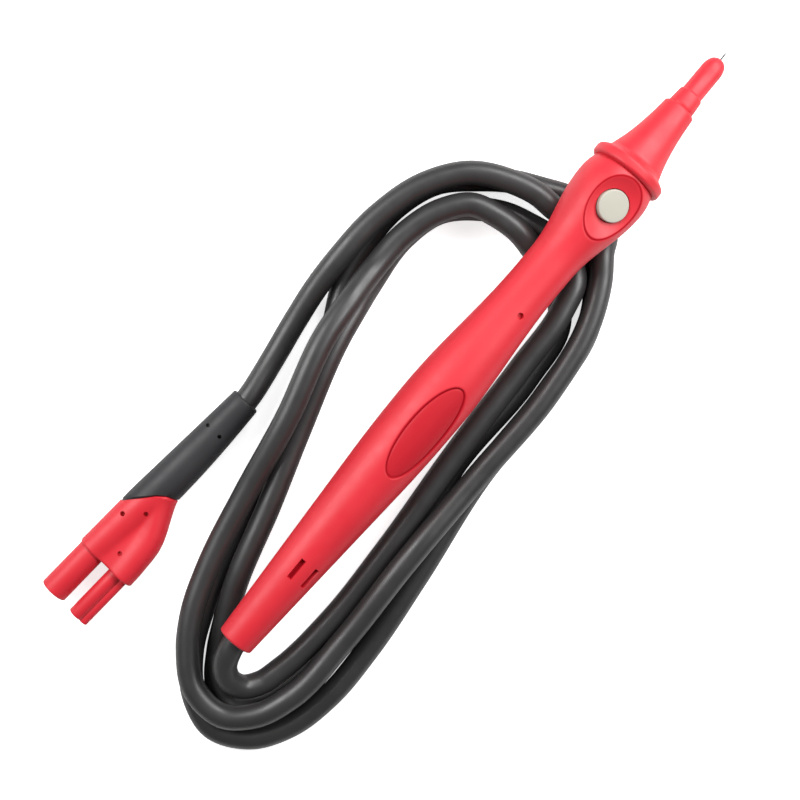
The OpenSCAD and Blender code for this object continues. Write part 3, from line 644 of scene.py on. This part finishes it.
class Nodes:
    """A material's node tree, with short calls for the few nodes that these finishes use."""

    def __init__(self, name):
        self.mat = bpy.data.materials.new(name)
        self.mat.use_nodes = True
        self.tree = self.mat.node_tree
        self.bsdf = next(n for n in self.tree.nodes if n.type == "BSDF_PRINCIPLED")
        self.place = self.add("ShaderNodeTexCoord").outputs["Object"]

    def put(self, socket, value):
        """A link into a socket if the value is another node's output, otherwise the socket's own value."""
        if hasattr(value, "is_output"):
            self.tree.links.new(value, socket)
        else:
            socket.default_value = value

    def add(self, kind, links=(), **settings):
        """A new node with its settings, and the values or outputs that go into its sockets."""
        node = self.tree.nodes.new(kind)
        for key, value in settings.items():
            setattr(node, key, value)
        for name, value in links:
            self.put(node.inputs[name], value)
        return node

    def noise(self, scale, detail=3.0, rough=0.5):
        """Even noise over the piece's own coordinates, mostly between 0.3 and 0.7."""
        node = self.add("ShaderNodeTexNoise", [("Vector", self.place), ("Scale", scale), ("Detail", detail),
                                               ("Roughness", rough)])
        return node.outputs["Fac"]

    def spread(self, source, to_low, to_high, from_low=0.3, from_high=0.7):
        """The source's values between from_low and from_high, spread between to_low and to_high."""
        node = self.add("ShaderNodeMapRange", [("Value", source), ("From Min", from_low),
                                               ("From Max", from_high), ("To Min", to_low),
                                               ("To Max", to_high)])
        return node.outputs["Result"]

    def blend(self, factor, one, two):
        """The first colour where the factor is 0, the second where it is 1."""
        node = self.add("ShaderNodeMix", data_type="RGBA")
        sockets = [s for s in node.inputs if s.name in ("Factor", "A", "B") and s.enabled]
        for socket, value in zip(sockets, (factor, one, two)):
            self.put(socket, (*value, 1.0) if isinstance(value, tuple) else value)
        return next(o for o in node.outputs if o.enabled)

    def use(self, **sockets):
        """Values or outputs for the shader's own sockets."""
        for key, value in sockets.items():
            self.put(self.bsdf.inputs[key.replace("_", " ")], value)

    def bump(self, height, strength, distance):
        """Fine relief from a height, on the shader's normal."""
        node = self.add("ShaderNodeBump", [("Height", height), ("Strength", strength),
                                           ("Distance", distance)])
        self.use(Normal=node.outputs["Normal"])


def moulded(name, colour, darker, rough, grain=1800.0, strength=0.12, spec=0.4, recess_shade=None):
    """Moulded plastic or rubber: a slightly uneven colour, a roughness that drifts, and a fine even grain.
    With recess_shade, painted shade by the mesh's attribute: the colour goes over to it and the shine falls
    in the recesses."""
    n = Nodes(name)
    base = n.blend(n.spread(n.noise(70.0), 0.0, 1.0), colour, darker)
    if recess_shade:
        # Painted shade: where the attribute recess is high, the colour darkens and the shine is dimmed
        deep = n.add("ShaderNodeAttribute", attribute_name="recess").outputs["Fac"]
        base, spec = n.blend(deep, base, recess_shade), n.spread(deep, spec, 0.05, 0.0, 0.8)
    n.use(Base_Color=base, Roughness=n.spread(n.noise(240.0), rough - 0.04, rough + 0.05),
          Specular_IOR_Level=spec)
    n.bump(n.noise(grain, 4.0, 0.6), strength, 0.00006)
    return n.mat


def metal(name, colour, rough):
    """Drawn or turned metal: fine uneven brightness and shine."""
    n = Nodes(name)
    dark = tuple(c * 0.8 for c in colour)
    n.use(Base_Color=n.blend(n.noise(900.0), colour, dark), Metallic=1.0,
          Roughness=n.spread(n.noise(2500.0, 5.0), rough - 0.06, rough + 0.08))
    n.bump(n.noise(6000.0), 0.05, 0.00003)
    return n.mat


# The red plastic's colour, its darker tone and its roughness
SATIN_RED = ((0.64, 0.017, 0.031), (0.60, 0.014, 0.027), 0.5)
RED = moulded("satin_red_plastic", *SATIN_RED, spec=0.56)
# The grip's fine lines, oval floor and slots get painted shade: a darker red and less shine
GRIP = moulded("satin_red_grip", *SATIN_RED, spec=0.56, recess_shade=(0.30, 0.003, 0.009))
CREAM = moulded("cream_plastic", (0.45, 0.435, 0.37), (0.42, 0.405, 0.345), 0.5)
JACKET = moulded("black_lead_rubber", (0.029, 0.028, 0.028), (0.023, 0.022, 0.022), 0.41, 1200.0, 0.10,
                 spec=0.66)
BOOT = moulded("black_boot_rubber", (0.026, 0.026, 0.028), (0.021, 0.021, 0.023), 0.5, 1400.0, 0.16)
BLACK = moulded("black_plastic", (0.02, 0.02, 0.02), (0.016, 0.016, 0.016), 0.5)
GREY = moulded("grey_plastic", (0.20, 0.20, 0.21), (0.17, 0.17, 0.18), 0.5)
BOARD = moulded("green_board", (0.02, 0.14, 0.06), (0.015, 0.11, 0.05), 0.4)
WHITE = moulded("white_wire", (0.7, 0.7, 0.68), (0.66, 0.66, 0.64), 0.4)
RED_WIRE = moulded("red_wire", (0.5, 0.02, 0.02), (0.45, 0.016, 0.016), 0.35)
STEEL = metal("needle_steel", (0.12, 0.12, 0.12), 0.4)
BRIGHT = metal("bright_steel", (0.62, 0.62, 0.60), 0.3)
BRASS = metal("brass", (0.75, 0.55, 0.25), 0.3)
GOLD = metal("gold_plate", (0.85, 0.62, 0.26), 0.25)

# Which pieces have each finish: new pieces by their object, and the CAD's own pieces by their node's name
FINISH = {
    GRIP: [grip_shell],
    RED: [cone_and_guard, nose_sleeve, two_lobe_body, big_sleeve, keyed_sleeve],
    CREAM: [push_cap],
    JACKET: [lead_tube],
    BOOT: [boot_shell],
    BLACK: ["switch_plunger", "switch_case", "small_insert"],
    GREY: ["inner_carrier"],
    BOARD: ["circuit_board"],
    WHITE: ["sense_wires"],
    RED_WIRE: ["hot_wire", "plug_wires"],
    STEEL: ["contact_needle"],
    BRIGHT: ["return_spring", "cord_clamp", "crimp_ring"],
    BRASS: ["contact_rod"],
    GOLD: ["plug_pin", "pin_basket", "small_pin"],
}
for mat, things in FINISH.items():
    for thing in things:
        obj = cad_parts[thing] if isinstance(thing, str) else thing
        obj.data.materials.clear()
        obj.data.materials.append(mat)


# Floor and light

# How much the floor glows for the camera alone, how strong the surrounding light is, how pale the camera
# sees it, and half the floor's width in metres
FLOOR_GLOW = 0.74
SURROUNDING = 0.18
FAR_FLOOR = 0.9
FLOOR_HALF = 3


def soft_box(name, across, along, height, size, power):
    """A square soft box aimed at the middle of the picture, placed in metres to the picture's right, to its
    top, and above the surface."""
    data = bpy.data.lights.new(name, "AREA")
    data.shape = "SQUARE"
    data.size = size
    data.energy = power
    lamp = bpy.data.objects.new(name, data)
    bpy.context.scene.collection.objects.link(lamp)
    middle = row([*MIDDLE, 0])
    way = across * np.array([*PICTURE_RIGHT, 0]) + along * np.array([*PICTURE_UP, 0]) + (0, 0, height)
    back = way / np.linalg.norm(way)
    side = np.cross((0, 0, 1.0), back)
    side /= np.linalg.norm(side)
    axes = np.array([side, np.cross(back, side), back, middle + way])
    lamp.matrix_world = Matrix([*axes.T.tolist(), (0, 0, 0, 1)])


def studio():
    """A plain white floor just below the surface on which the object lies, which the camera sees a little
    brighter than it is lit, three soft boxes, and a dim even surrounding, which the camera sees as pale as
    the far floor."""
    x, y, z = row([*MIDDLE, -0.05])
    corners = [(x + FLOOR_HALF * i, y + FLOOR_HALF * j, z) for i, j in ((-1, -1), (1, -1), (1, 1), (-1, 1))]
    floor = add_mesh("floor", corners, [(0, 1, 2, 3)])
    n = Nodes("white_floor")
    seen = n.add("ShaderNodeLightPath").outputs["Is Camera Ray"]
    n.use(Base_Color=(0.85, 0.85, 0.85, 1.0), Roughness=0.9, Specular_IOR_Level=0.0,
          Emission_Color=(1.0, 1.0, 1.0, 1.0), Emission_Strength=n.spread(seen, 0.0, FLOOR_GLOW, 0.0, 1.0))
    floor.data.materials.append(n.mat)
    soft_box("soft_box_left", -0.34, 0.18, 0.38, 0.30, 2.4)
    soft_box("soft_box_right", 0.44, 0.12, 0.42, 0.30, 2.6)
    soft_box("soft_box_top", 0.24, 0.36, 0.42, 0.25, 2.1)
    world = bpy.data.worlds.new("surrounding")
    world.use_nodes = True
    tree = world.node_tree
    around = tree.nodes["Background"]
    around.inputs["Color"].default_value = (1, 1, 1, 1)
    level = tree.nodes.new("ShaderNodeMapRange")
    level.inputs["To Min"].default_value = SURROUNDING
    level.inputs["To Max"].default_value = FAR_FLOOR
    tree.links.new(tree.nodes.new("ShaderNodeLightPath").outputs["Is Camera Ray"], level.inputs["Value"])
    tree.links.new(level.outputs["Result"], around.inputs["Strength"])
    bpy.context.scene.world = world
    bpy.context.scene.view_settings.view_transform = "Standard"


studio()
